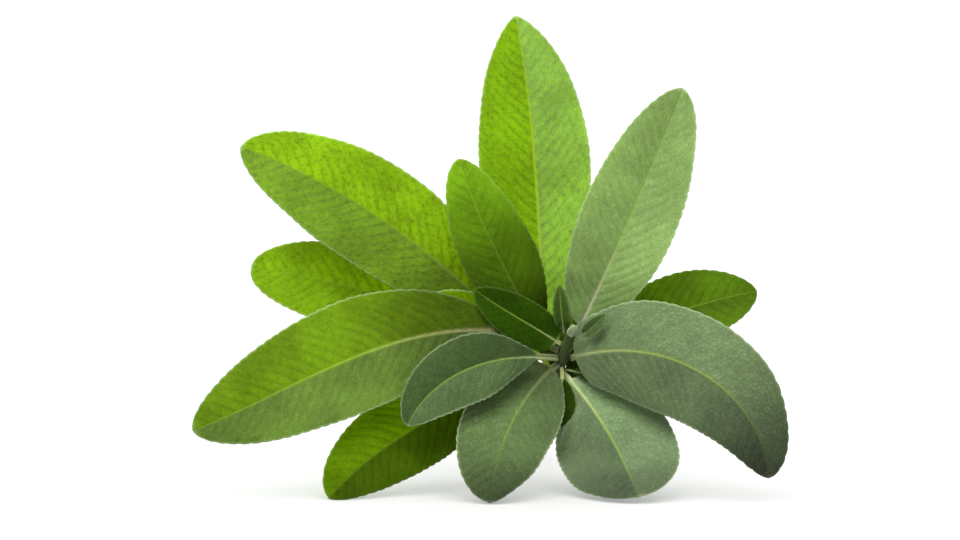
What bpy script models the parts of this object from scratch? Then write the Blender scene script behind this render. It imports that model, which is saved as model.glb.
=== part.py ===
"""Cut sprig of common sage, lying on a surface.

The growing tip points towards -Y and a little up, and the stem runs back and
down to its cut end, which rests on the surface at the back. Three leaf tips
rest on the surface in front. Lengths in the tables are millimetres, angles are
degrees, and the model itself is in metres with +Z up. The origin is on the
surface, at the middle of the sprig's outline.
"""

from math import cos, radians, sin

import bpy
import numpy as np
from mathutils import Vector

MM = 0.001

# --- stem: a shoot that lies at the back and turns up towards its tip ---------
STEM_TIP = Vector((17.6, -19.8, 33.3)) * MM
STEM_BEND = Vector((12.6, 13.2, 13.0)) * MM
STEM_CUT = Vector((7.6, 43.2, 1.7)) * MM
STEM_LENGTH = 72.0          # along the stem, for the tables below
STEM_RADIUS_TIP = 1.0
STEM_RADIUS_CUT = 1.8

# --- leaf section ----------------------------------------------------------
STALK_WIDTH = 1.5           # leaf stalk, across
STALK_THICKNESS = 1.2
BLADE_THICKNESS = 0.5
GAP = 0.5                   # between a leaf stalk and the stem

# Each leaf: where it leaves the stem (from the tip), stalk and blade lengths,
# blade width, where along the blade it is widest (0 base, 1 tip), and how full
# the base and the tip are (lower is fuller). "heading" is the midrib's compass
# direction in the upright X-Z plane (0 is +X, 90 is up) and "lean" its angle
# towards -Y, each at the stalk's foot, the middle and the leaf tip. "roll"
# turns the blade about its midrib, at the foot and at the tip. "fold" raises
# the two halves of the blade from the midrib, and "cup" curls them back.
LEAVES = {
    "leaf_top": dict(at=29, stalk=14, length=71, width=25.5, widest=0.52, base=0.85, tip=0.72,
                     heading=(94, 90, 101), lean=(24, 2, -22), roll=(0, 4), fold=8, cup=-0.10),
    "leaf_upper_right": dict(at=12, stalk=8, length=58, width=21.5, widest=0.46, base=0.62, tip=0.60,
                             heading=(65, 69, 68), lean=(28, 18, -6), roll=(0, -6), fold=12, cup=-0.10),
    "leaf_upper_centre": dict(at=16, stalk=7, length=45, width=17, widest=0.50, base=0.85, tip=0.60,
                              heading=(114, 123, 107), lean=(28, 18, -4), roll=(0, 6), fold=12, cup=-0.10),
    "leaf_upper_left": dict(at=24, stalk=16, length=72, width=24, widest=0.52, base=0.85, tip=0.60,
                            heading=(126, 142, 160), lean=(20, 2, -14), roll=(6, 14), fold=8, cup=-0.10),
    "leaf_left_back": dict(at=35, stalk=14, length=61, width=20, widest=0.55, base=0.85, tip=0.50,
                           heading=(128, 170, 172), lean=(16, -4, -22), roll=(10, 18), fold=8, cup=-0.10),
    "leaf_left": dict(at=8, stalk=16, length=70, width=25, widest=0.46, base=0.60, tip=0.60,
                      heading=(150, 221, 200), lean=(20, 25, 8), roll=(10, 14), fold=10, cup=-0.10),
    "leaf_left_small": dict(at=9, stalk=8, length=38, width=15, widest=0.50, base=1.10, tip=0.60,
                            heading=(166, 178, 246), lean=(60, 35, 0), roll=(15, 10), fold=10, cup=-0.30),
    "leaf_lower_left": dict(at=29, stalk=14, length=52, width=19, widest=0.55, base=0.85, tip=0.60,
                            heading=(176, 200, 226), lean=(45, 40, 35), roll=(25, 20), fold=8, cup=-0.10),
    "leaf_front_left": dict(at=12, stalk=1.5, length=43.2, width=21, widest=0.50, base=0.55, tip=0.60,
                            heading=(214, 244, 262), lean=(45, 51, 47), roll=(20, 10), fold=8, cup=-0.10),
    "leaf_front_right": dict(at=16, stalk=2, length=43.5, width=26, widest=0.56, base=0.75, tip=0.50,
                             heading=(316, 298, 290), lean=(36, 51, 75), roll=(-8, -8), fold=5, cup=-0.10),
    "leaf_right": dict(at=9, stalk=1, length=62, width=23.5, widest=0.44, base=0.40, tip=0.60,
                       heading=(24, -14, -87), lean=(50, 30, 5), roll=(-10, -10), fold=0, cup=-0.20),
    "leaf_right_back": dict(at=24, stalk=9, length=41, width=17, widest=0.50, base=0.85, tip=0.60,
                            heading=(42, 20, 8), lean=(18, -2, -24), roll=(-10, -18), fold=8, cup=-0.10),
    "small_leaf_left": dict(at=18, stalk=8, length=24, width=10, widest=0.50, base=0.85, tip=0.60,
                            heading=(130, 157, 160), lean=(22, 9, 4), roll=(0, 0), fold=10, cup=-0.10),
    "young_leaf_left": dict(at=5, stalk=0.6, length=22, width=10.5, widest=0.40, base=0.35, tip=0.60,
                            heading=(146, 152, 142), lean=(16, 18, 10), roll=(0, 0), fold=15, cup=-0.10),
    "young_leaf_below": dict(at=13, stalk=2, length=14, width=9, widest=0.50, base=0.85, tip=0.60,
                             heading=(275, 235, 225), lean=(30, 34, 36), roll=(0, 0), fold=10, cup=-0.10),
    "young_leaf_right": dict(at=14.2, stalk=1.8, length=14.7, width=4.3, widest=0.50, base=0.85, tip=0.60,
                             heading=(354, 351, 368), lean=(49, 34, 2), roll=(0, 0), fold=10, cup=-0.10),
    "tip_leaf_a": dict(at=1.5, stalk=0.6, length=11, width=4.5, widest=0.45, base=0.60, tip=0.60,
                       heading=(100, 96, 92), lean=(40, 26, 6), roll=(0, 0), fold=30, cup=0.0),
    "tip_leaf_b": dict(at=1.5, stalk=1, length=8, width=4, widest=0.50, base=0.85, tip=0.60,
                       heading=(40, 45, 50), lean=(40, 30, 20), roll=(0, 0), fold=25, cup=0.0),
    "axil_leaf_a": dict(at=21, stalk=2, length=12, width=8, widest=0.50, base=0.85, tip=0.60,
                        heading=(60, 40, 30), lean=(30, 10, 0), roll=(0, 0), fold=10, cup=-0.10),
    "axil_leaf_b": dict(at=23.4, stalk=2, length=12.2, width=11.9, widest=0.50, base=0.85, tip=0.60,
                        heading=(88, 63, 60), lean=(32, 11, 10), roll=(0, 0), fold=10, cup=-0.10),
    "axil_leaf_c": dict(at=22.6, stalk=2.5, length=14.5, width=12.6, widest=0.50, base=0.85, tip=0.60,
                        heading=(56, -33, 41), lean=(62, 52, -26), roll=(0, 0), fold=10, cup=-0.10),
    "axil_leaf_d": dict(at=17, stalk=2, length=13, width=8, widest=0.50, base=0.85, tip=0.60,
                        heading=(70, 80, 90), lean=(10, 0, -5), roll=(0, 0), fold=10, cup=-0.10),
}

COLOURS = {
    "stem": (0.16, 0.18, 0.06),
    "bud": (0.18, 0.27, 0.10),
    "leaf_top": (0.20, 0.38, 0.03),
    "leaf_upper_right": (0.20, 0.34, 0.08),
    "leaf_upper_centre": (0.13, 0.25, 0.03),
    "leaf_upper_left": (0.19, 0.37, 0.03),
    "leaf_left_back": (0.16, 0.30, 0.02),
    "leaf_left": (0.15, 0.26, 0.04),
    "leaf_left_small": (0.09, 0.16, 0.05),
    "leaf_lower_left": (0.10, 0.20, 0.02),
    "leaf_front_left": (0.13, 0.21, 0.07),
    "leaf_front_right": (0.17, 0.25, 0.12),
    "leaf_right": (0.15, 0.23, 0.11),
    "leaf_right_back": (0.11, 0.20, 0.02),
    "small_leaf_left": (0.14, 0.27, 0.03),
    "young_leaf_left": (0.05, 0.11, 0.01),
    "young_leaf_below": (0.05, 0.11, 0.01),
    "young_leaf_right": (0.09, 0.15, 0.05),
    "tip_leaf_a": (0.12, 0.20, 0.07),
    "tip_leaf_b": (0.14, 0.22, 0.09),
    "axil_leaf_a": (0.05, 0.11, 0.01),
    "axil_leaf_b": (0.05, 0.11, 0.01),
    "axil_leaf_c": (0.05, 0.11, 0.01),
    "axil_leaf_d": (0.06, 0.12, 0.01),
}


def quadratic(a, t):
    """Value at t of the smooth curve that starts at a[0], is pulled by a[1] and ends at a[2]."""
    return a[0] * (1 - t) ** 2 + 2 * a[1] * t * (1 - t) + a[2] * t * t


def ease(x):
    x = min(max(x, 0.0), 1.0)
    return x * x * (3 - 2 * x)


def stem_point(at):
    """Centre of the stem, and its direction towards the tip, at mm from the tip."""
    q = at / STEM_LENGTH
    centre = quadratic((STEM_TIP, STEM_BEND, STEM_CUT), q)
    along = (STEM_BEND - STEM_TIP) * (1 - q) + (STEM_CUT - STEM_BEND) * q
    return centre, -along.normalized()


def stem_radius(at):
    return STEM_RADIUS_TIP + (STEM_RADIUS_CUT - STEM_RADIUS_TIP) * at / STEM_LENGTH


def direction(heading, lean):
    h, l = radians(heading), radians(lean)
    return Vector((cos(l) * cos(h), -sin(l), cos(l) * sin(h)))


def blade_outline(t, widest, base, tip):
    """Half width of the blade, as a share of its greatest, from base (0) to tip (1)."""
    if t < widest:
        return (1 - ((widest - t) / widest) ** 2) ** base
    return max(1 - ((t - widest) / (1 - widest)) ** 2, 0.0) ** tip


def midrib(leaf, steps):
    """Stations along a leaf: point, direction, face normal, sideways, blade fraction."""
    centre, along = stem_point(leaf["at"])
    start = direction(leaf["heading"][0], leaf["lean"][0])
    side = (start - along * start.dot(along)).normalized()
    point = centre + side * (stem_radius(leaf["at"]) + GAP + STALK_THICKNESS / 2) * MM
    total = leaf["stalk"] + leaf["length"]
    foot = leaf["stalk"] / total
    out = []
    for i in range(steps + 1):
        f = i / steps
        run = direction(quadratic(leaf["heading"], f), quadratic(leaf["lean"], f))
        face = Vector((0, -1, 0))
        face = (face - run * face.dot(run)).normalized()
        across = run.cross(face)
        turn = radians(leaf["roll"][0] + (leaf["roll"][1] - leaf["roll"][0]) * f)
        face, across = face * cos(turn) + across * sin(turn), across * cos(turn) - face * sin(turn)
        out.append((point.copy(), run, face, across, (f - foot) / (1 - foot)))
        fm = (i + 0.5) / steps
        point = point + direction(quadratic(leaf["heading"], fm), quadratic(leaf["lean"], fm)) * (total / steps) * MM
    return out


def leaf_point(station, leaf, v):
    """Middle of the leaf's thickness at v across it (-1 to 1)."""
    point, run, face, across, t = station
    half = min(STALK_WIDTH, 0.1 * leaf["width"]) / 2 * (1 - ease(t / 0.15))
    opened = 0.0
    if t > 0:
        half += leaf["width"] / 2 * blade_outline(min(t, 1.0), leaf["widest"], leaf["base"], leaf["tip"])
        opened = ease(t / 0.25)
    half = max(half, 0.4) * MM
    lift = radians(leaf["fold"]) * opened
    return (point + across * (v * half * cos(lift))
            + face * (abs(v) * half * sin(lift) + leaf["cup"] * opened * half * v * v))


def material(name):
    mat = bpy.data.materials.new(name)
    mat.use_nodes = True
    shader = mat.node_tree.nodes["Principled BSDF"]
    shader.inputs["Base Color"].default_value = (*COLOURS[name], 1.0)
    shader.inputs["Roughness"].default_value = 0.7
    shader.inputs["Metallic"].default_value = 0.0
    return mat


def finish(obj, name, collection):
    obj.name = name
    obj.data.name = name
    obj.data.materials.append(material(name))
    for c in list(obj.users_collection):
        c.objects.unlink(obj)
    collection.objects.link(obj)


def make_leaf(name, leaf, collection):
    """One leaf: a grid bent to the leaf's surface, then given its thickness."""
    small = leaf["length"] < 10
    steps = 8 if small else (12 if leaf["length"] < 30 else 18)
    bpy.ops.mesh.primitive_grid_add(x_subdivisions=4, y_subdivisions=steps, size=2)
    obj = bpy.context.active_object
    stations = midrib(leaf, steps)
    weights = obj.vertex_groups.new(name="thickness")
    for vert in obj.data.vertices:
        i = round((vert.co.y + 1) / 2 * steps)
        v = round(vert.co.x * 2) / 2
        t = stations[i][4]
        thick = BLADE_THICKNESS + (STALK_THICKNESS - BLADE_THICKNESS) * (1 - ease(t / 0.15))
        if small:
            thick *= 0.6
        weights.add([vert.index], thick / STALK_THICKNESS, "REPLACE")
        vert.co = leaf_point(stations[i], leaf, v)
    solid = obj.modifiers.new("thickness", "SOLIDIFY")
    solid.thickness = STALK_THICKNESS * MM
    solid.offset = 0.0
    solid.vertex_group = "thickness"
    solid.thickness_vertex_group = 0.0
    obj.data.shade_smooth()
    finish(obj, name, collection)


def make_stem(collection):
    """The stem: a tapered round bar along its curve, cut off square at the back."""
    curve = bpy.data.curves.new("stem", "CURVE")
    curve.dimensions = "3D"
    curve.bevel_depth = STEM_RADIUS_CUT * MM
    curve.bevel_resolution = 3
    curve.use_fill_caps = True
    spline = curve.splines.new("POLY")
    count = 19
    spline.points.add(count - 1)
    for i in range(count):
        at = STEM_LENGTH * (1 - i / (count - 1))
        centre, _ = stem_point(at)
        spline.points[i].co = (*centre, 1.0)
        spline.points[i].radius = stem_radius(at) / STEM_RADIUS_CUT
    obj = bpy.data.objects.new("stem", curve)
    collection.objects.link(obj)
    curve.materials.append(material("stem"))


def make_bud(collection):
    """The closed bud at the shoot's tip: a small egg just off the stem's end."""
    centre, along = stem_point(0)
    bpy.ops.mesh.primitive_uv_sphere_add(segments=12, ring_count=8, radius=1.0)
    obj = bpy.context.active_object
    turn = along.to_track_quat("Z", "Y")
    place = centre + along * (2.0 + GAP) * MM
    for vert in obj.data.vertices:
        z = vert.co.z
        narrow = 1.0 - 0.25 * z
        local = Vector((vert.co.x * 1.0 * narrow, vert.co.y * 1.0 * narrow, z * 2.0)) * MM
        vert.co = place + turn @ local
    obj.data.shade_smooth()
    finish(obj, "bud", collection)


def main():
    for obj in list(bpy.data.objects):
        bpy.data.objects.remove(obj, do_unlink=True)
    collection = bpy.data.collections.new("sage_sprig")
    bpy.context.scene.collection.children.link(collection)
    make_stem(collection)
    make_bud(collection)
    for name, leaf in LEAVES.items():
        make_leaf(name, leaf, collection)


main()
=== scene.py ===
"""Cut sprig of common sage: the fine leaves, stem, materials, light and camera.

The fine pieces follow the same curves as the CAD solids that they replace.
Lengths in the tables are millimetres and angles are degrees.
"""

from math import cos, pi, radians, sin

import bpy
import numpy as np
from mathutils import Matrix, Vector


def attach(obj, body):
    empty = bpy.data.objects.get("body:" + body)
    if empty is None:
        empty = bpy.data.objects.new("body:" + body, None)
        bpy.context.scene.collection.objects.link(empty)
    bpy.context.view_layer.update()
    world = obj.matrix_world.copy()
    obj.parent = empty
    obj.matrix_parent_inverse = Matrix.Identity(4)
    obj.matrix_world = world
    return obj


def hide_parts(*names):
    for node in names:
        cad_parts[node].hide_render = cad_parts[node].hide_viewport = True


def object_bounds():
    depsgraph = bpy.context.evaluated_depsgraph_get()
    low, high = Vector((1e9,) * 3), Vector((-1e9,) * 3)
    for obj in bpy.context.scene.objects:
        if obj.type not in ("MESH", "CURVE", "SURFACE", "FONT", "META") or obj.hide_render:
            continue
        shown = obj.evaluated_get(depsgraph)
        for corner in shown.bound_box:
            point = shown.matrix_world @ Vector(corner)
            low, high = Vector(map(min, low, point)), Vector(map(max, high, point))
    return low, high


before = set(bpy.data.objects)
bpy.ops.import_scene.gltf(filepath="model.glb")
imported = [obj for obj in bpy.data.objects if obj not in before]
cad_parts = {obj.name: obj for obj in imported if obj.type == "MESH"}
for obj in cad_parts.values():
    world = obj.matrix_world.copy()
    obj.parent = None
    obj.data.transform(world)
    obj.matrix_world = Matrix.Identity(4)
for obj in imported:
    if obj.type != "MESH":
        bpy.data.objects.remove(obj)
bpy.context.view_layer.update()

MM = 0.001

# ---------------------------------------------------------------------------
# The design, as in the CAD model
# ---------------------------------------------------------------------------
STEM_TIP = np.array((17.6, -19.8, 33.3))
STEM_BEND = np.array((12.6, 13.2, 13.0))
STEM_CUT = np.array((7.6, 43.2, 1.7))
STEM_LENGTH = 72.0
STEM_RADIUS_TIP = 1.0
STEM_RADIUS_CUT = 1.8
STALK_WIDTH = 1.5
STALK_THICKNESS = 1.2
GAP = 0.5

LEAVES = {
    "leaf_top": dict(at=29, stalk=14, length=71, width=25.5, widest=0.52, base=0.85, tip=0.72,
                     heading=(94, 90, 101), lean=(24, 2, -22), roll=(0, 4), fold=8, cup=-0.10),
    "leaf_upper_right": dict(at=12, stalk=8, length=58, width=21.5, widest=0.46, base=0.62, tip=0.60,
                             heading=(65, 69, 68), lean=(28, 18, -6), roll=(0, -6), fold=12, cup=-0.10),
    "leaf_upper_centre": dict(at=16, stalk=7, length=45, width=17, widest=0.50, base=0.85, tip=0.60,
                              heading=(114, 123, 107), lean=(28, 18, -4), roll=(0, 6), fold=12, cup=-0.10),
    "leaf_upper_left": dict(at=24, stalk=16, length=72, width=24, widest=0.52, base=0.85, tip=0.60,
                            heading=(126, 142, 160), lean=(20, 2, -14), roll=(6, 14), fold=8, cup=-0.10),
    "leaf_left_back": dict(at=35, stalk=14, length=61, width=20, widest=0.55, base=0.85, tip=0.50,
                           heading=(128, 170, 172), lean=(16, -4, -22), roll=(10, 18), fold=8, cup=-0.10),
    "leaf_left": dict(at=8, stalk=16, length=70, width=25, widest=0.46, base=0.60, tip=0.60,
                      heading=(150, 221, 200), lean=(20, 25, 8), roll=(10, 14), fold=10, cup=-0.10),
    "leaf_left_small": dict(at=9, stalk=8, length=38, width=15, widest=0.50, base=1.10, tip=0.60,
                            heading=(166, 178, 246), lean=(60, 35, 0), roll=(15, 10), fold=10, cup=-0.30),
    "leaf_lower_left": dict(at=29, stalk=14, length=52, width=19, widest=0.55, base=0.85, tip=0.60,
                            heading=(176, 200, 226), lean=(45, 40, 35), roll=(25, 20), fold=8, cup=-0.10),
    "leaf_front_left": dict(at=12, stalk=1.5, length=43.2, width=21, widest=0.50, base=0.55, tip=0.60,
                            heading=(214, 244, 262), lean=(45, 51, 47), roll=(20, 10), fold=8, cup=-0.10),
    "leaf_front_right": dict(at=16, stalk=2, length=43.5, width=26, widest=0.56, base=0.75, tip=0.50,
                             heading=(316, 298, 290), lean=(36, 51, 75), roll=(-8, -8), fold=5, cup=-0.10),
    "leaf_right": dict(at=9, stalk=1, length=62, width=23.5, widest=0.44, base=0.40, tip=0.60,
                       heading=(24, -14, -87), lean=(50, 30, 5), roll=(-10, -10), fold=0, cup=-0.20),
    "leaf_right_back": dict(at=24, stalk=9, length=41, width=17, widest=0.50, base=0.85, tip=0.60,
                            heading=(42, 20, 8), lean=(18, -2, -24), roll=(-10, -18), fold=8, cup=-0.10),
    "small_leaf_left": dict(at=18, stalk=8, length=24, width=10, widest=0.50, base=0.85, tip=0.60,
                            heading=(130, 157, 160), lean=(22, 9, 4), roll=(0, 0), fold=10, cup=-0.10),
    "young_leaf_left": dict(at=5, stalk=0.6, length=22, width=10.5, widest=0.40, base=0.35, tip=0.60,
                            heading=(146, 152, 142), lean=(16, 18, 10), roll=(0, 0), fold=15, cup=-0.10),
    "young_leaf_below": dict(at=13, stalk=2, length=14, width=9, widest=0.50, base=0.85, tip=0.60,
                             heading=(275, 235, 225), lean=(30, 34, 36), roll=(0, 0), fold=10, cup=-0.10),
    "young_leaf_right": dict(at=14.2, stalk=1.8, length=14.7, width=4.3, widest=0.50, base=0.85, tip=0.60,
                             heading=(354, 351, 368), lean=(49, 34, 2), roll=(0, 0), fold=10, cup=-0.10),
    "tip_leaf_a": dict(at=1.5, stalk=0.6, length=11, width=4.5, widest=0.45, base=0.60, tip=0.60,
                       heading=(100, 96, 92), lean=(40, 26, 6), roll=(0, 0), fold=30, cup=0.0),
    "tip_leaf_b": dict(at=1.5, stalk=1, length=8, width=4, widest=0.50, base=0.85, tip=0.60,
                       heading=(40, 45, 50), lean=(40, 30, 20), roll=(0, 0), fold=25, cup=0.0),
    "axil_leaf_a": dict(at=21, stalk=2, length=12, width=8, widest=0.50, base=0.85, tip=0.60,
                        heading=(60, 40, 30), lean=(30, 10, 0), roll=(0, 0), fold=10, cup=-0.10),
    "axil_leaf_b": dict(at=23.4, stalk=2, length=12.2, width=11.9, widest=0.50, base=0.85, tip=0.60,
                        heading=(88, 63, 60), lean=(32, 11, 10), roll=(0, 0), fold=10, cup=-0.10),
    "axil_leaf_c": dict(at=22.6, stalk=2.5, length=14.5, width=12.6, widest=0.50, base=0.85, tip=0.60,
                        heading=(56, -33, 41), lean=(62, 52, -26), roll=(0, 0), fold=10, cup=-0.10),
    "axil_leaf_d": dict(at=17, stalk=2, length=13, width=8, widest=0.50, base=0.85, tip=0.60,
                        heading=(70, 80, 90), lean=(10, 0, -5), roll=(0, 0), fold=10, cup=-0.10),
}

# Looks of each leaf. light: base colour of the upper face where it is young and
# smooth; dark: its colour in its hollows, a painted shade; through: the colour of
# light that comes through; share: how much light comes through; the hair amount:
# how much pale hair it carries, and where two amounts are given, one per half, the
# paler half carries a painted sheen. The brightness factors along the leaf and for
# each half are painted light and shade, and the near-black greens of the young
# and axil leaves at the centre are painted shade.
LOOKS = {
    "leaf_top": dict(light=(0.11, 0.20, 0.004), dark=(0.055, 0.12, 0.001), through=(0.62, 0.87, 0.005), share=0.42, hair_and_sheen=(0.01, 0.32), dots=0.40, painted_half_shading=(0.92, 1.04), gloss=0.04, rib=(0.34, 0.44, 0.03), rib_share=0.9),
    "leaf_upper_right": dict(light=(0.145, 0.22, 0.045), dark=(0.076, 0.137, 0.023), through=(0.49, 0.67, 0.06), share=0.30, hair_and_sheen=(0.28, 0.32), sheen=0.15, painted_shading=(0.95, 1.05, 0.9), painted_half_shading=(0.93, 1.1), stalk=(0.44, 0.40, 0.30)),
    "leaf_upper_centre": dict(light=(0.075, 0.145, 0.001), dark=(0.038, 0.08, 0.0005), through=(0.50, 0.75, 0.005), share=0.34, hair_and_sheen=0.03, painted_shading=(0.14, 0.53, 1.42), gloss=0.03, margin=(0.12, 0.17, 0.05)),
    "leaf_upper_left": dict(light=(0.12, 0.21, 0.002), dark=(0.06, 0.12, 0.001), through=(0.66, 0.90, 0.003), share=0.42, hair_and_sheen=(0.15, 0.02), dots=0.45, painted_shading=(0.34, 0.9, 1.22), painted_half_shading=(0.74, 1.04), gloss=0.04),
    "leaf_left_back": dict(light=(0.125, 0.225, 0.002), dark=(0.07, 0.14, 0.001), through=(0.66, 0.90, 0.003), share=0.42, hair_and_sheen=0.02, dots=0.35, painted_shading=(0.5, 0.93, 1.0), gloss=0.04),
    "leaf_left": dict(light=(0.09, 0.15, 0.002), dark=(0.05, 0.09, 0.001), through=(0.54, 0.80, 0.005), share=0.34, hair_and_sheen=(0.22, 0.02), dots=0.25, painted_shading=(0.36, 0.92, 0.73), painted_half_shading=(0.88, 1.08), gloss=0.05, rib=(0.30, 0.44, 0.03), rib_share=0.85, stalk=(0.60, 0.58, 0.26)),
    "leaf_left_small": dict(light=(0.035, 0.070, 0.008), dark=(0.018, 0.04, 0.003), through=(0.35, 0.60, 0.02), share=0.20, hair_and_sheen=(0.22, 0.12), sheen=0.1, painted_half_shading=(0.95, 0.65), gloss=0.06),
    "leaf_lower_left": dict(light=(0.068, 0.128, 0.0007), dark=(0.036, 0.074, 0.0004), through=(0.62, 0.88, 0.002), share=0.36, hair_and_sheen=0.0, dots=0.25, painted_shading=(0.9, 1.0, 0.85), painted_half_shading=(0.5, 1.0), gloss=0.03, margin=(0.12, 0.17, 0.04)),
    "leaf_front_left": dict(light=(0.062, 0.105, 0.016), dark=(0.030, 0.057, 0.007), through=(0.33, 0.52, 0.026), share=0.18, hair_and_sheen=0.24, sheen=0.15, painted_shading=(0.66, 0.95, 0.27), painted_half_shading=(0.9, 1.08), gloss=0.06),
    "leaf_front_right": dict(light=(0.075, 0.12, 0.035), dark=(0.042, 0.075, 0.016), through=(0.38, 0.60, 0.05), share=0.18, hair_and_sheen=0.42, sheen=0.2, painted_shading=(1.45, 1.0, 0.52), painted_half_shading=(1.08, 0.62)),
    "leaf_right": dict(light=(0.070, 0.11, 0.024), dark=(0.035, 0.062, 0.010), through=(0.30, 0.47, 0.03), share=0.18, hair_and_sheen=0.36, sheen=0.15, painted_shading=(1.1, 0.92, 0.19), painted_half_shading=(1.02, 0.64)),
    "leaf_right_back": dict(light=(0.05, 0.09, 0.001), dark=(0.026, 0.052, 0.0005), through=(0.50, 0.74, 0.005), share=0.34, hair_and_sheen=0.03, dots=0.2, gloss=0.04, margin=(0.14, 0.20, 0.05)),
    "small_leaf_left": dict(light=(0.14, 0.25, 0.001), dark=(0.07, 0.14, 0.0005), through=(0.80, 0.98, 0.003), share=0.48, hair_and_sheen=0.0, dots=0.2, gloss=0.03),
    # The near-black greens below, on the young leaves and on axil leaves b and c, are painted shade.
    "young_leaf_left": dict(light=(0.018, 0.047, 0.0005), dark=(0.009, 0.024, 0.0003), through=(0.35, 0.62, 0.002), share=0.22, hair_and_sheen=0.0, gloss=0.03, margin=(0.05, 0.09, 0.02)),
    "young_leaf_below": dict(light=(0.012, 0.030, 0.0003), dark=(0.006, 0.015, 0.0002), through=(0.30, 0.55, 0.002), share=0.16, hair_and_sheen=0.0, gloss=0.02, margin=(0.02, 0.04, 0.005), rib=(0.05, 0.08, 0.01)),
    "young_leaf_right": dict(light=(0.016, 0.032, 0.003), dark=(0.008, 0.016, 0.001), through=(0.30, 0.52, 0.01), share=0.14, hair_and_sheen=0.04, gloss=0.04, margin=(0.05, 0.07, 0.02), rib=(0.08, 0.12, 0.02)),
    "tip_leaf_a": dict(light=(0.030, 0.060, 0.004), dark=(0.015, 0.032, 0.002), through=(0.35, 0.60, 0.01), share=0.20, hair_and_sheen=0.06, gloss=0.05, margin=(0.08, 0.12, 0.03)),
    "tip_leaf_b": dict(light=(0.045, 0.085, 0.012), dark=(0.022, 0.045, 0.005), through=(0.35, 0.60, 0.03), share=0.20, hair_and_sheen=0.18, gloss=0.06, margin=(0.12, 0.16, 0.06)),
    "axil_leaf_a": dict(light=(0.030, 0.060, 0.003), dark=(0.015, 0.032, 0.001), through=(0.35, 0.60, 0.01), share=0.20, hair_and_sheen=0.05, gloss=0.04, margin=(0.06, 0.09, 0.02), rib=(0.10, 0.15, 0.02)),
    "axil_leaf_b": dict(light=(0.018, 0.040, 0.001), dark=(0.009, 0.021, 0.0005), through=(0.35, 0.60, 0.005), share=0.20, hair_and_sheen=0.02, gloss=0.03, margin=(0.05, 0.08, 0.02), rib=(0.08, 0.13, 0.02)),
    "axil_leaf_c": dict(light=(0.015, 0.034, 0.001), dark=(0.008, 0.018, 0.0005), through=(0.35, 0.60, 0.005), share=0.20, hair_and_sheen=0.02, gloss=0.03, margin=(0.05, 0.08, 0.02), rib=(0.08, 0.13, 0.02)),
    "axil_leaf_d": dict(light=(0.035, 0.070, 0.002), dark=(0.018, 0.036, 0.001), through=(0.50, 0.80, 0.005), share=0.34, hair_and_sheen=0.02, gloss=0.03, margin=(0.08, 0.12, 0.03)),
}


def quadratic(a, t):
    return a[0] * (1 - t) ** 2 + 2 * a[1] * t * (1 - t) + a[2] * t * t


def ease(x):
    x = np.clip(x, 0.0, 1.0)
    return x * x * (3 - 2 * x)


def stem_point(at):
    q = at / STEM_LENGTH
    centre = STEM_TIP * (1 - q) ** 2 + 2 * STEM_BEND * q * (1 - q) + STEM_CUT * q * q
    along = -((STEM_BEND - STEM_TIP) * (1 - q) + (STEM_CUT - STEM_BEND) * q)
    return centre, along / np.linalg.norm(along)


def stem_radius(at):
    return STEM_RADIUS_TIP + (STEM_RADIUS_CUT - STEM_RADIUS_TIP) * at / STEM_LENGTH


def direction(heading, lean):
    h, l = np.radians(heading), np.radians(lean)
    return np.stack([np.cos(l) * np.cos(h), -np.sin(l), np.cos(l) * np.sin(h)], -1)


def unit(a):
    return a / np.linalg.norm(a, axis=-1, keepdims=True)


def blade_outline(t, widest, base, tip):
    a = np.clip((widest - t) / widest, 0, 1)
    b = np.clip((t - widest) / (1 - widest), 0, 1)
    return np.where(t < widest, (1 - a * a) ** base, np.maximum(1 - b * b, 0) ** tip)


# ---------------------------------------------------------------------------
# Patterns, worked out on the leaf's own surface
# ---------------------------------------------------------------------------
def hashed(i, j, seed):
    """A steady pseudo-random number from 0 to 1 for each whole-number pair."""
    n = (i.astype(np.int64) * 73856093) ^ (j.astype(np.int64) * 19349663) ^ (seed * 83492791)
    n = (n ^ (n >> 13)) * 1274126177 & 0x7FFFFFFF
    n = (n ^ (n >> 16)) * 668265263 & 0x7FFFFFFF
    return (n % 100003) / 100003.0


def cells(x, y, seed):
    """Distance to the nearest and second nearest of scattered points, and the nearest's number."""
    i, j = np.floor(x).astype(int), np.floor(y).astype(int)
    first = np.full(x.shape, 9.0)
    second = np.full(x.shape, 9.0)
    number = np.zeros(x.shape)
    for di in (-1, 0, 1):
        for dj in (-1, 0, 1):
            a, b = i + di, j + dj
            px = a + 0.5 + 0.8 * (hashed(a, b, seed) - 0.5)
            py = b + 0.5 + 0.8 * (hashed(a, b, seed + 7) - 0.5)
            d = np.hypot(px - x, py - y)
            nearer = d < first
            second = np.where(nearer, first, np.minimum(second, d))
            number = np.where(nearer, hashed(a, b, seed + 13), number)
            first = np.where(nearer, d, first)
    return first, second, number


def waves(x, y, seed):
    """Smooth random height from -1 to 1, one bump per unit."""
    i, j = np.floor(x).astype(int), np.floor(y).astype(int)
    fx, fy = x - i, y - j
    fx, fy = fx * fx * (3 - 2 * fx), fy * fy * (3 - 2 * fy)
    a, b = hashed(i, j, seed), hashed(i + 1, j, seed)
    c, d = hashed(i, j + 1, seed), hashed(i + 1, j + 1, seed)
    return 2 * ((a * (1 - fx) + b * fx) * (1 - fy) + (c * (1 - fx) + d * fx) * fy) - 1


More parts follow.
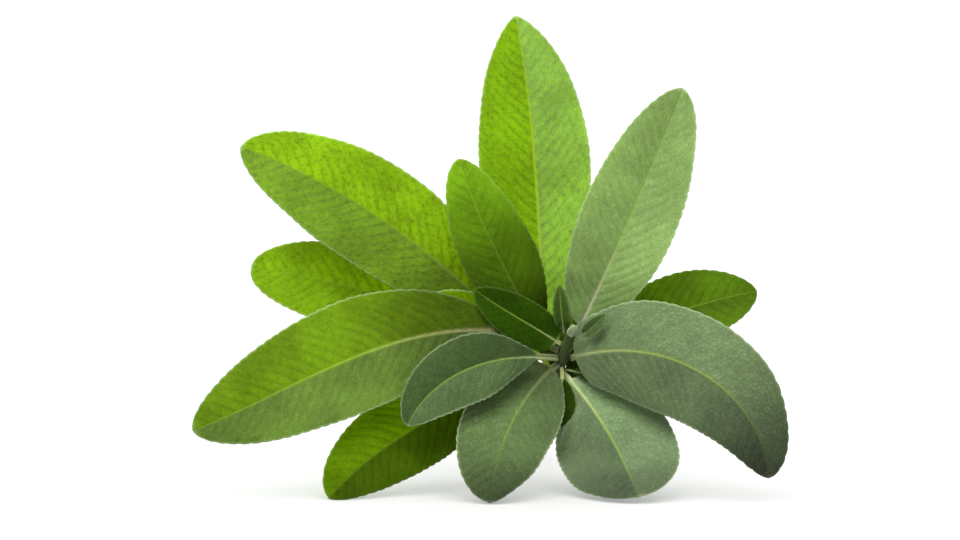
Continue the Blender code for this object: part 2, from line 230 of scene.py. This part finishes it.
# ---------------------------------------------------------------------------
# Meshes
# ---------------------------------------------------------------------------
def new_mesh(name, verts, quads, tris=(), values=None):
    mesh = bpy.data.meshes.new(name)
    mesh.vertices.add(len(verts))
    mesh.vertices.foreach_set("co", (np.asarray(verts) * MM).astype(np.float32).ravel())
    quads = np.asarray(quads, dtype=np.int32).reshape(-1, 4)
    tris = np.asarray(tris, dtype=np.int32).reshape(-1, 3)
    corners = np.concatenate([quads.ravel(), tris.ravel()])
    starts = np.concatenate([np.arange(len(quads)) * 4, quads.size + np.arange(len(tris)) * 3])
    mesh.loops.add(len(corners))
    mesh.loops.foreach_set("vertex_index", corners)
    mesh.polygons.add(len(starts))
    mesh.polygons.foreach_set("loop_start", starts.astype(np.int32))
    mesh.update(calc_edges=True)
    mesh.validate()
    mesh.shade_smooth()
    for key, value in (values or {}).items():
        layer = mesh.attributes.new(key, "FLOAT", "POINT")
        layer.data.foreach_set("value", np.asarray(value, dtype=np.float32).ravel())
    obj = bpy.data.objects.new(name, mesh)
    bpy.context.scene.collection.objects.link(obj)
    return obj


def leaf_stations(leaf, f):
    """Points, directions, face normals and sideways at shares f of the leaf's whole length."""
    centre, along = stem_point(leaf["at"])
    start = direction(leaf["heading"][0], leaf["lean"][0])
    side = unit(start - along * np.dot(start, along))
    first = centre + side * (stem_radius(leaf["at"]) + GAP + STALK_THICKNESS / 2)
    total = leaf["stalk"] + leaf["length"]
    fine = np.linspace(0, 1, 2001)
    mid = (fine[1:] + fine[:-1]) / 2
    steps = direction(quadratic(leaf["heading"], mid), quadratic(leaf["lean"], mid)) * total / 2000
    track = np.vstack([np.zeros(3), np.cumsum(steps, 0)]) + first
    point = np.stack([np.interp(f, fine, track[:, k]) for k in range(3)], -1)
    run = direction(quadratic(leaf["heading"], f), quadratic(leaf["lean"], f))
    face = np.array((0.0, -1.0, 0.0)) - run * (-run[:, 1:2])
    face = unit(face)
    across = np.cross(run, face)
    turn = np.radians(leaf["roll"][0] + (leaf["roll"][1] - leaf["roll"][0]) * f)[:, None]
    face, across = face * np.cos(turn) + across * np.sin(turn), across * np.cos(turn) - face * np.sin(turn)
    return point, run, face, across


def make_leaf(name, leaf, seed):
    """A closed leaf: upper and lower faces with veins, pebbling and a scalloped margin."""
    length, width, stalk = leaf["length"], leaf["width"], leaf["stalk"]
    total = length + stalk
    foot = stalk / total
    small = length < 10
    pitch = 0.28 if not small else 0.14
    nu = int(total / pitch)
    nv = 2 * int(max(width / pitch, 10) / 2)
    f = np.linspace(0, 1, nu + 1)
    t = (f - foot) / (1 - foot)
    point, run, face, across = leaf_stations(leaf, f)
    s = f * total

    stalk_half = min(STALK_WIDTH, 0.1 * width) / 2
    half = stalk_half * (1 - ease(t / 0.15))
    half = half + np.where(t > 0, width / 2 * blade_outline(np.clip(t, 0, 1), leaf["widest"], leaf["base"], leaf["tip"]), 0)
    half = np.maximum(half, 0.16)
    opened = np.where(t > 0, ease(t / 0.25), 0)
    on_blade = np.where(t > 0, ease(t / 0.12), 0)

    v = np.linspace(-1, 1, nv + 1)
    v = np.sign(v) * (0.86 * np.abs(v) + 0.14 * (1 - (1 - np.abs(v)) ** 2))
    S, V = np.meshgrid(s, v, indexing="ij")
    T = np.broadcast_to(t[:, None], S.shape)
    HALF = np.broadcast_to(half[:, None], S.shape)
    OPEN = np.broadcast_to(opened[:, None], S.shape)
    ON = np.broadcast_to(on_blade[:, None], S.shape)
    X = V * HALF
    side = np.sign(V)

    # scalloped margin: rounded teeth with sharp notches between them
    tooth_pitch = 2.1 if length > 30 else 1.4
    if small:
        tooth_pitch = 0.7
    warp = S + 0.5 * waves(S / 5.0, side * 3 + 0.5, seed + 3) + side * 0.4
    tooth = np.abs(np.sin(pi * warp / tooth_pitch)) ** 0.7 - 0.6
    strength = (0.30 if not small else 0.08) * (0.75 + 0.35 * waves(S / 4.0, side * 5 + 0.5, seed + 5))
    X = X + side * np.abs(V) ** 10 * tooth * strength * ON * np.clip((1 - T) / 0.03, 0.2, 1)
    # slow waver of the margin line
    X = X * (1 + 0.035 * waves(S / 9.0, side * 2 + 0.5, seed + 9) * ON)

    # veins
    spacing = 2.9 if length > 30 else max(length / 9, 0.9)
    bend = np.abs(X) / np.maximum(HALF, 0.3)
    phase = (S - stalk - np.abs(X) * (0.75 + 0.45 * bend)) / spacing + 0.37 * (side > 0)
    phase = phase + 0.16 * waves(S / 7.0, X / 6.0, seed + 21)
    off = np.abs(phase - np.round(phase)) * spacing * 0.75
    scale = np.clip(width / 22.0, 0.25, 1.1)
    vein_w = 0.30 * np.sqrt(scale)
    side_vein = np.exp(-(off / vein_w) ** 2) * ON * np.clip(1.25 - np.abs(V) * 1.1, 0, 1)
    mid_w = (0.13 + 0.27 * (1 - np.clip(T, 0, 1)) ** 1.5) * scale
    midrib = np.exp(-(X / mid_w) ** 2)
    broad = np.exp(-(X / (mid_w * 2.2)) ** 2)
    swell = np.sin(pi * np.clip(phase - np.floor(phase), 0, 1)) ** 0.8

    # pebbling between the veins
    grain = 0.92 * np.sqrt(scale)
    gx = (S - 0.5 * np.abs(X)) / grain + 0.35 * waves(S / 2.3, X / 2.3, seed + 31)
    gy = X / (grain * 0.92) + 0.35 * waves(S / 2.1 + 7, X / 2.4, seed + 37)
    near, far, number = cells(gx, gy, seed)
    edge_of_cell = far - near
    pebble = 1 - np.exp(-(edge_of_cell / 0.42) ** 2)
    dot = np.exp(-(near / 0.26) ** 2) * (number > 0.35) * ON * (1 - midrib)
    bump = pebble * (0.65 + 0.35 * number) * ON * (1 - 0.75 * midrib)

    # shape across the blade
    lift = radians(leaf["fold"] + 5) * OPEN
    soft = 0.9 * scale
    rise = np.sqrt(X * X + soft * soft) - soft
    drift = leaf["cup"] * OPEN * HALF * V * V
    wave = (0.35 * waves(S / 11.0, side * 1.0 + 0.5, seed + 41) * V * V * ON
            + 0.22 * waves(S / 6.0, X / 5.0, seed + 43) * ON) * scale
    quilt = 0.15 * (0.7 + 0.6 * waves(S / 6.0 + 3, X / 5.0, seed + 47)) * (swell - 0.5) * np.clip(np.abs(X) / 2.0, 0, 1) * ON * scale * (1 - np.abs(V) ** 6)

    blade = 0.30 if not small else 0.20
    thin = 1 - 0.62 * np.abs(V) ** 8 * ON
    rib = 0.95 * scale * (1 - 0.85 * np.clip(T, 0, 1)) * midrib
    stalk_round = np.sqrt(np.clip(1 - V * V, 0, 1)) * (1 - ON)
    top = (blade / 2 * thin * (ON + (1 - ON) * 0.6) + 0.060 * bump * scale - 0.12 * side_vein * scale
           - 0.24 * scale * midrib * ON - 0.16 * (1 - ON) * midrib + 0.28 * stalk_round)
    low = (-blade / 2 * thin * (ON + (1 - ON) * 0.5) + 0.03 * bump * scale - 0.10 * side_vein * scale
           - rib - 0.50 * stalk_round)

    # places
    sideways = across[:, None, :] * (X * np.cos(lift))[..., None]
    base = point[:, None, :] + sideways + face[:, None, :] * (rise * np.sin(lift) + drift + wave + quilt)[..., None]
    tilt = (X / np.sqrt(X * X + soft * soft)) * np.sin(lift)
    normal = unit(face[:, None, :] - across[:, None, :] * tilt[..., None])
    upper = base + normal * top[..., None]
    lower = base + normal * low[..., None]

    # the stalk's foot runs a little way into the stem
    push = np.where(s < 0.9, (0.9 - s) / 0.9, 0.0)[:, None, None] * 0.9
    upper = upper - run[:, None, :] * push
    lower = lower - run[:, None, :] * push

    rows, cols = nu + 1, nv + 1
    ids = np.arange(rows * cols).reshape(rows, cols)
    quad = np.stack([ids[:-1, :-1], ids[1:, :-1], ids[1:, 1:], ids[:-1, 1:]], -1).reshape(-1, 4)
    count = rows * cols
    under = quad[:, ::-1] + count
    loop = np.concatenate([ids[0, :-1], ids[:-1, -1], ids[-1, ::-1][:-1], ids[::-1, 0][:-1]])
    after = np.roll(loop, -1)
    rim = np.stack([loop, after, after + count, loop + count], -1)
    faces = np.vstack([quad, under, rim])
    verts = np.vstack([upper.reshape(-1, 3), lower.reshape(-1, 3)])
    # faces outwards: test one upper quad against its face normal
    a, b, c = verts[quad[len(quad) // 2][0]], verts[quad[len(quad) // 2][1]], verts[quad[len(quad) // 2][2]]
    if np.dot(np.cross(b - a, c - a), normal.reshape(-1, 3)[quad[len(quad) // 2][0]]) < 0:
        faces = faces[:, ::-1]

    margin = np.clip(1 - (HALF - np.abs(V) * HALF) / 0.45, 0, 1) * np.maximum(ON, 0.0)
    tipward = np.clip((T - 0.985) / 0.015, 0, 1)
    margin = np.maximum(margin, tipward)
    stalky = 1 - ease((T + 0.01) / 0.03)
    pale = np.clip(midrib * (0.45 + 0.55 * (1 - np.clip(T, 0, 1))) + stalky, 0, 1)
    both = lambda a, b=None: np.concatenate([a.ravel(), (a if b is None else b).ravel()])
    values = {
        "rib": both(pale),
        "broad": both(broad * ON),
        "vein": both(side_vein),
        "pebble": both(bump + (1 - ON)),
        "dot": both(dot),
        "cell": both(number),
        "margin": both(margin),
        "upper": both(np.ones_like(S), np.zeros_like(S)),
        "along": both(np.clip(T, 0, 1)),
        "halfside": both((V > 0).astype(float)),
    }
    return new_mesh(name, verts, faces, (), values)


def closed_tube(rings):
    """Quads and end triangles that close a stack of rings into one solid."""
    rows, cols = rings.shape[:2]
    ids = np.arange(rows * cols).reshape(rows, cols)
    after = np.roll(ids, -1, axis=1)
    quads = np.stack([ids[:-1], after[:-1], after[1:], ids[1:]], -1).reshape(-1, 4)
    verts = np.vstack([rings.reshape(-1, 3), rings[0].mean(0), rings[-1].mean(0)])
    first, last = rows * cols, rows * cols + 1
    tris = np.vstack([
        np.stack([after[0], ids[0], np.full(cols, first)], -1),
        np.stack([ids[-1], after[-1], np.full(cols, last)], -1),
    ])
    return verts, quads, tris


def make_stem():
    """The stem: four-angled, swollen where leaf pairs join, and cut off square."""
    rows, cols = 340, 48
    at = np.linspace(STEM_LENGTH, -0.4, rows)
    centre = np.array([stem_point(a)[0] for a in at])
    along = np.array([stem_point(a)[1] for a in at])
    up = np.array((0.0, 0.0, 1.0))
    right = unit(np.cross(along, up))
    over = np.cross(right, along)
    radius = STEM_RADIUS_TIP + (STEM_RADIUS_CUT - STEM_RADIUS_TIP) * np.clip(at, 0, None) / STEM_LENGTH
    for place in (5, 10, 16, 22, 29, 35, 50, 63):
        radius = radius + 0.16 * np.exp(-((at - place) / 1.3) ** 2)
    angle = np.linspace(0, 2 * pi, cols, endpoint=False)
    A, AT = np.meshgrid(angle, at)
    R = radius[:, None] * (1 + 0.07 * np.cos(4 * A) - 0.02)
    R = R * (1 + 0.02 * np.sin(A * 11 + AT * 0.15) * np.clip(AT / 20, 0.2, 1))
    R = R + 0.035 * waves(AT / 0.9, A * 2.4 + 20, 77) + 0.05 * waves(AT / 4.0, A * 1.2 + 40, 79)
    taper = np.clip((at[0] - at) / 0.25, 0.9, 1)[:, None]
    R = R * taper
    rings = (centre[:, None] + right[:, None] * (R * np.cos(A))[..., None] + over[:, None] * (R * np.sin(A))[..., None])
    verts, quads, tris = closed_tube(rings)
    # marks for the colouring: along the stem, on its four angles and on the cut face
    values = {
        "along": np.append((AT / STEM_LENGTH).ravel(), (1.0, 0.0)),
        "ridge": np.append((0.5 + 0.5 * np.cos(4 * A)).ravel(), (0.5, 0.5)),
        "cut": np.append((AT > STEM_LENGTH - 0.05).astype(float).ravel(), (1.0, 0.0)),
    }
    return new_mesh("fine_stem", verts, quads, tris, values)


def make_bud():
    """The closed bud: a small egg of folded young leaves, seen as four keeled scales."""
    centre, along = stem_point(0)
    place = centre + along * (2.0 + GAP)
    up = np.array((0.0, 0.0, 1.0))
    right = unit(np.cross(along, up))
    over = np.cross(right, along)
    rows, cols = 60, 72
    z = -np.cos(np.linspace(0.03, pi - 0.03, rows))
    angle = np.linspace(0, 2 * pi, cols, endpoint=False)
    A, Z = np.meshgrid(angle, z)
    twist = A + 0.5 * Z
    R = np.sqrt(1 - Z * Z) * (1.0 - 0.25 * Z)
    R = R * (1 + 0.16 * np.abs(np.cos(2 * twist)) ** 1.5 - 0.08 + 0.07 * waves(A * 3 + 9, Z * 6 + 9, 5))
    rings = (place + along * (Z * 2.3 - 0.25)[..., None] + right * (R * np.cos(A))[..., None]
             + over * (R * np.sin(A))[..., None])
    verts, quads, tris = closed_tube(rings)
    keel = np.abs(np.cos(2 * twist))
    values = {
        "along": np.append(((Z + 1) / 2).ravel(), (0.0, 1.0)),
        "ridge": np.append(keel.ravel(), (0.5, 0.5)),
        "cut": np.zeros(rows * cols + 2),
    }
    return new_mesh("fine_bud", verts, quads, tris, values)


# ---------------------------------------------------------------------------
# Materials
# ---------------------------------------------------------------------------
class Graph:
    """A small helper for building one material's nodes."""

    def __init__(self, name):
        self.mat = bpy.data.materials.new(name)
        self.mat.use_nodes = True
        self.nodes = self.mat.node_tree.nodes
        self.links = self.mat.node_tree.links
        self.shader = self.nodes["Principled BSDF"]
        self.output = self.nodes["Material Output"]
        self.coords = self.nodes.new("ShaderNodeTexCoord").outputs["Object"]

    def put(self, socket, value):
        if isinstance(value, bpy.types.NodeSocket):
            self.links.new(value, socket)
        elif isinstance(value, tuple) and len(value) == 3 and socket.type == "RGBA":
            socket.default_value = (*value, 1.0)
        else:
            socket.default_value = value

    def attribute(self, name):
        node = self.nodes.new("ShaderNodeAttribute")
        node.attribute_name = name
        return node.outputs["Fac"]

    def math(self, kind, a, b=0.0, c=None):
        node = self.nodes.new("ShaderNodeMath")
        node.operation = kind
        self.put(node.inputs[0], a)
        self.put(node.inputs[1], b)
        if c is not None:
            self.put(node.inputs[2], c)
        return node.outputs[0]

    def scaled(self, value, low, high):
        """low where value is 0 and high where it is 1."""
        return self.math("MULTIPLY_ADD", value, high - low, low)

    def between(self, value, low, high):
        """0 below low, 1 above high, smooth between."""
        node = self.nodes.new("ShaderNodeMapRange")
        node.interpolation_type = "SMOOTHSTEP"
        self.put(node.inputs["Value"], value)
        node.inputs["From Min"].default_value = low
        node.inputs["From Max"].default_value = high
        return node.outputs["Result"]

    def mix(self, factor, a, b, kind="MIX"):
        node = self.nodes.new("ShaderNodeMix")
        node.data_type = "RGBA"
        node.blend_type = kind
        node.clamp_factor = True
        self.put(node.inputs[0], factor)
        self.put(node.inputs[6], a)
        self.put(node.inputs[7], b)
        return node.outputs[2]

    def ramp(self, value, levels):
        """A smooth curve through the levels at value 0, 0.5 and 1."""
        first, middle, last = levels
        rise = self.scaled(self.between(value, 0.0, 0.5), first, middle)
        fall = self.scaled(self.between(value, 0.5, 1.0), 1.0, last / middle)
        return self.math("MULTIPLY", rise, fall)

    def bright(self, colour, value):
        node = self.nodes.new("ShaderNodeHueSaturation")
        self.put(node.inputs["Color"], colour)
        self.put(node.inputs["Value"], value)
        return node.outputs["Color"]

    def noise(self, size, detail=2.0, roughness=0.5):
        """Noise whose features are about size mm across."""
        node = self.nodes.new("ShaderNodeTexNoise")
        self.put(node.inputs["Vector"], self.coords)
        node.inputs["Scale"].default_value = 1000.0 / size
        node.inputs["Detail"].default_value = detail
        node.inputs["Roughness"].default_value = roughness
        return node.outputs["Fac"]

    def voronoi(self, size, feature="F1"):
        node = self.nodes.new("ShaderNodeTexVoronoi")
        node.feature = feature
        self.put(node.inputs["Vector"], self.coords)
        node.inputs["Scale"].default_value = 1000.0 / size
        return node.outputs["Distance"]

    def bump(self, height, strength, distance, normal=None):
        node = self.nodes.new("ShaderNodeBump")
        node.inputs["Strength"].default_value = strength
        node.inputs["Distance"].default_value = distance * MM
        self.put(node.inputs["Height"], height)
        if normal is not None:
            self.put(node.inputs["Normal"], normal)
        return node.outputs["Normal"]


HAIR = (0.22, 0.29, 0.19)
STALK_COLOUR = (0.30, 0.33, 0.14)


def pair(value):
    """The values for the two halves of a leaf, from one or two numbers."""
    return value if isinstance(value, tuple) else (value, value)


def leaf_material(name, look):
    g = Graph("sage_" + name)
    pebble, cell = g.attribute("pebble"), g.attribute("cell")
    vein, rib, margin, upper = (g.attribute(k) for k in ("vein", "rib", "margin", "upper"))
    side, along = g.attribute("halfside"), g.attribute("along")
    blot, fine, hairs = g.noise(9.0, 3.0), g.noise(0.55, 3.0, 0.6), g.noise(0.22, 2.0, 0.7)

    grit = g.math("ADD", g.math("MULTIPLY", pebble, 0.60), g.math("MULTIPLY", g.between(fine, 0.3, 0.7), 0.40))
    # darker in the hollows between the pebbles: painted shade, mixed with random speckle
    colour = g.mix(g.scaled(grit, 0.15, 1.0), look["dark"], look["light"])
    colour = g.bright(colour, g.scaled(g.attribute("dot"), 1.0, 1.0 - look.get("dots", 0.15)))
    colour = g.bright(colour, g.scaled(cell, 0.86, 1.14))
    colour = g.bright(colour, g.scaled(g.between(blot, 0.3, 0.7), 0.84, 1.14))
    # darker along the vein grooves: painted shade
    colour = g.mix(g.math("MULTIPLY", vein, 0.28), colour, look["dark"])
    # pale hair cover; where its two numbers differ, the paler half carries a painted sheen
    hair_and_sheen_cover = g.scaled(side, *pair(look["hair_and_sheen"]))
    tufts = g.math("MULTIPLY", g.scaled(g.between(hairs, 0.35, 0.7), 0.45, 1.25), g.scaled(pebble, 0.55, 1.15))
    hair_and_sheen_cover = g.math("MULTIPLY", hair_and_sheen_cover, g.math("MULTIPLY", tufts, g.scaled(blot, 0.6, 1.4)))
    colour = g.mix(hair_and_sheen_cover, colour, HAIR)
    under = g.mix(0.60, colour, (0.17, 0.23, 0.12))
    under = g.mix(g.math("MULTIPLY", vein, 0.5), under, (0.26, 0.32, 0.15))
    colour = g.mix(upper, under, colour)
    stalk = g.mix(g.between(along, 0.0, 0.5), look.get("stalk", STALK_COLOUR), look.get("rib", (0.19, 0.29, 0.03)))
    colour = g.mix(g.math("MULTIPLY", rib, look.get("rib_share", 0.75)), colour, stalk)
    colour = g.mix(g.math("MULTIPLY", margin, g.scaled(fine, 0.15, 0.95)), colour, look.get("margin", (0.30, 0.38, 0.20)))
    # painted light and shade: each leaf brighter or darker along its length and on one half, as light falls on it
    painted_shading = g.ramp(along, look.get("painted_shading", (1.0, 1.0, 1.0)))
    painted_shading = g.math("MULTIPLY", painted_shading, g.scaled(side, *look.get("painted_half_shading", (1.0, 1.0))))
    colour = g.bright(colour, painted_shading)
    g.put(g.shader.inputs["Base Color"], colour)
    g.put(g.shader.inputs["Roughness"], g.scaled(pebble, 0.78, 0.64))
    g.shader.inputs["Specular IOR Level"].default_value = look.get("gloss", 0.12)
    g.shader.inputs["Sheen Weight"].default_value = look.get("sheen", 0.0)
    g.shader.inputs["Sheen Roughness"].default_value = 0.45
    g.shader.inputs["Sheen Tint"].default_value = (0.80, 0.90, 0.72, 1.0)

    rough = g.math("ADD", g.math("MULTIPLY", fine, 0.7), g.math("MULTIPLY", hairs, 0.5))
    tiny = g.math("SUBTRACT", rough, g.voronoi(0.42))
    normal = g.bump(tiny, 0.45, 0.10)
    g.put(g.shader.inputs["Normal"], normal)

    through = g.bright(look["through"], g.scaled(grit, 0.80, 1.05))
    through = g.bright(through, g.scaled(g.attribute("dot"), 1.0, 1.0 - 1.3 * look.get("dots", 0.15)))
    through = g.bright(through, g.scaled(g.between(blot, 0.3, 0.7), 0.88, 1.08))
    through = g.mix(g.math("MULTIPLY", vein, 0.30), through, look["dark"])
    through = g.mix(g.math("MULTIPLY", rib, 0.45), through, (0.35, 0.5, 0.05))
    # the same painted light and shade, laid on the light that comes through
    through = g.bright(through, g.math("POWER", painted_shading, 0.5))
    glow = g.nodes.new("ShaderNodeBsdfTranslucent")
    g.put(glow.inputs["Color"], through)
    g.put(glow.inputs["Normal"], normal)
    both = g.nodes.new("ShaderNodeMixShader")
    both.inputs[0].default_value = look["share"]
    g.links.new(g.shader.outputs[0], both.inputs[1])
    g.links.new(glow.outputs[0], both.inputs[2])
    g.links.new(both.outputs[0], g.output.inputs["Surface"])
    return g.mat


def stem_material():
    g = Graph("sage_stem")
    along, ridge, cut = g.attribute("along"), g.attribute("ridge"), g.attribute("cut")
    fine, hairs, streak = g.noise(1.6, 3.0), g.noise(0.25, 2.0, 0.7), g.noise(5.0, 2.0)
    colour = g.mix(g.between(along, 0.15, 0.75), (0.026, 0.043, 0.005), (0.09, 0.07, 0.035))
    colour = g.mix(g.math("MULTIPLY", g.between(streak, 0.4, 0.7), g.between(along, 0.3, 0.8)), colour, (0.10, 0.085, 0.04))
    colour = g.mix(g.math("MULTIPLY", g.between(hairs, 0.45, 0.7), 0.08), colour, (0.20, 0.24, 0.10))
    colour = g.mix(g.math("MULTIPLY", ridge, 0.20), colour, (0.08, 0.11, 0.02))
    colour = g.bright(colour, g.scaled(fine, 0.7, 1.3))
    colour = g.mix(cut, colour, g.mix(g.between(fine, 0.4, 0.6), (0.42, 0.40, 0.20), (0.55, 0.53, 0.33)))
    g.put(g.shader.inputs["Base Color"], colour)
    g.put(g.shader.inputs["Roughness"], g.scaled(fine, 0.60, 0.80))
    g.shader.inputs["Specular IOR Level"].default_value = 0.08
    g.shader.inputs["Sheen Weight"].default_value = 0.06
    g.shader.inputs["Sheen Tint"].default_value = (0.85, 0.90, 0.75, 1.0)
    g.put(g.shader.inputs["Normal"], g.bump(g.math("ADD", hairs, fine), 0.5, 0.12))
    return g.mat


def bud_material():
    g = Graph("sage_bud")
    along, ridge = g.attribute("along"), g.attribute("ridge")
    fine, hairs = g.noise(0.7, 3.0), g.noise(0.2, 2.0, 0.7)
    colour = g.mix(g.between(ridge, 0.1, 0.9), (0.018, 0.036, 0.004), (0.06, 0.10, 0.02))
    colour = g.mix(g.math("MULTIPLY", g.between(hairs, 0.4, 0.7), 0.35), colour, HAIR)
    colour = g.bright(colour, g.scaled(fine, 0.75, 1.2))
    colour = g.mix(g.math("MULTIPLY", g.between(along, 0.5, 1.0), 0.35), colour, (0.18, 0.24, 0.09))
    g.put(g.shader.inputs["Base Color"], colour)
    g.put(g.shader.inputs["Roughness"], g.scaled(fine, 0.60, 0.78))
    g.shader.inputs["Sheen Weight"].default_value = 0.45
    g.shader.inputs["Sheen Tint"].default_value = (0.85, 0.92, 0.78, 1.0)
    g.put(g.shader.inputs["Normal"], g.bump(g.math("ADD", hairs, fine), 0.5, 0.10))
    return g.mat


for number, (name, leaf) in enumerate(LEAVES.items()):
    piece = make_leaf("fine_" + name, leaf, 101 + 17 * number)
    piece.data.materials.append(leaf_material(name, LOOKS[name]))
    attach(piece, "root")
    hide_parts(name)

stem = make_stem()
stem.data.materials.append(stem_material())
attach(stem, "root")
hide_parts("stem")

bud = make_bud()
bud.data.materials.append(bud_material())
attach(bud, "root")
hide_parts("bud")

# ---------------------------------------------------------------------------
# Floor, light and camera
# ---------------------------------------------------------------------------
scene = bpy.context.scene
scene.view_settings.view_transform = "Standard"

low_corner, high_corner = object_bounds()
floor_mesh = bpy.data.meshes.new("floor")
reach, floor_z = 4.0, low_corner.z
floor_mesh.from_pydata([(-reach, -reach, floor_z), (reach, -reach, floor_z), (reach, reach, floor_z), (-reach, reach, floor_z)],
                       [], [(0, 1, 2, 3)])
floor = bpy.data.objects.new("floor", floor_mesh)
scene.collection.objects.link(floor)
paper = Graph("floor_paper")
paper.put(paper.shader.inputs["Base Color"], paper.mix(paper.noise(3.0, 2.0), (0.85, 0.85, 0.85), (0.87, 0.87, 0.87)))
paper.shader.inputs["Emission Color"].default_value = (1.0, 1.0, 1.0, 1.0)
paper.shader.inputs["Emission Strength"].default_value = 0.22
paper.shader.inputs["Roughness"].default_value = 0.9
paper.shader.inputs["Specular IOR Level"].default_value = 0.1
floor_mesh.materials.append(paper.mat)

world = bpy.data.worlds.new("studio")
scene.world = world
world.use_nodes = True
world.node_tree.nodes["Background"].inputs["Color"].default_value = (1.0, 1.0, 1.0, 1.0)
world.node_tree.nodes["Background"].inputs["Strength"].default_value = 1.12

MIDDLE = Vector((0.0, 0.0, 0.045))


sprig = bpy.data.collections.new("sprig_light")
for piece in [o for o in scene.objects if o.type == "MESH" and o is not floor]:
    sprig.objects.link(piece)


def area_light(name, place, size, power, colour=(1.0, 1.0, 1.0)):
    lamp = bpy.data.lights.new(name, "AREA")
    lamp.shape = "DISK"
    lamp.size = size
    lamp.energy = power
    lamp.color = colour
    obj = bpy.data.objects.new(name, lamp)
    obj.location = place
    obj.rotation_mode = "QUATERNION"
    obj.rotation_quaternion = (MIDDLE - Vector(place)).to_track_quat("-Z", "Y")
    scene.collection.objects.link(obj)
    obj.light_linking.receiver_collection = sprig
    return obj


area_light("light_back_left", (-0.50, 0.45, 0.75), 0.35, 26.0, (1.0, 0.98, 0.94))
area_light("light_front", (-0.15, -0.85, 0.65), 0.60, 22.0)

TARGET = Vector((-0.0022, -0.0118, 0.0469))
ELEVATION = radians(4.0)
camera_data = bpy.data.cameras.new("camera")
camera_data.lens = 102.3
camera_data.sensor_width = 36.0
camera_data.clip_start = 0.01
camera_data.clip_end = 20.0
camera = bpy.data.objects.new("camera", camera_data)
camera.location = TARGET - Vector((0.0, cos(ELEVATION), -sin(ELEVATION))) * 0.600
camera.rotation_mode = "QUATERNION"
camera.rotation_quaternion = (TARGET - camera.location).to_track_quat("-Z", "Y")
scene.collection.objects.link(camera)
scene.camera = camera
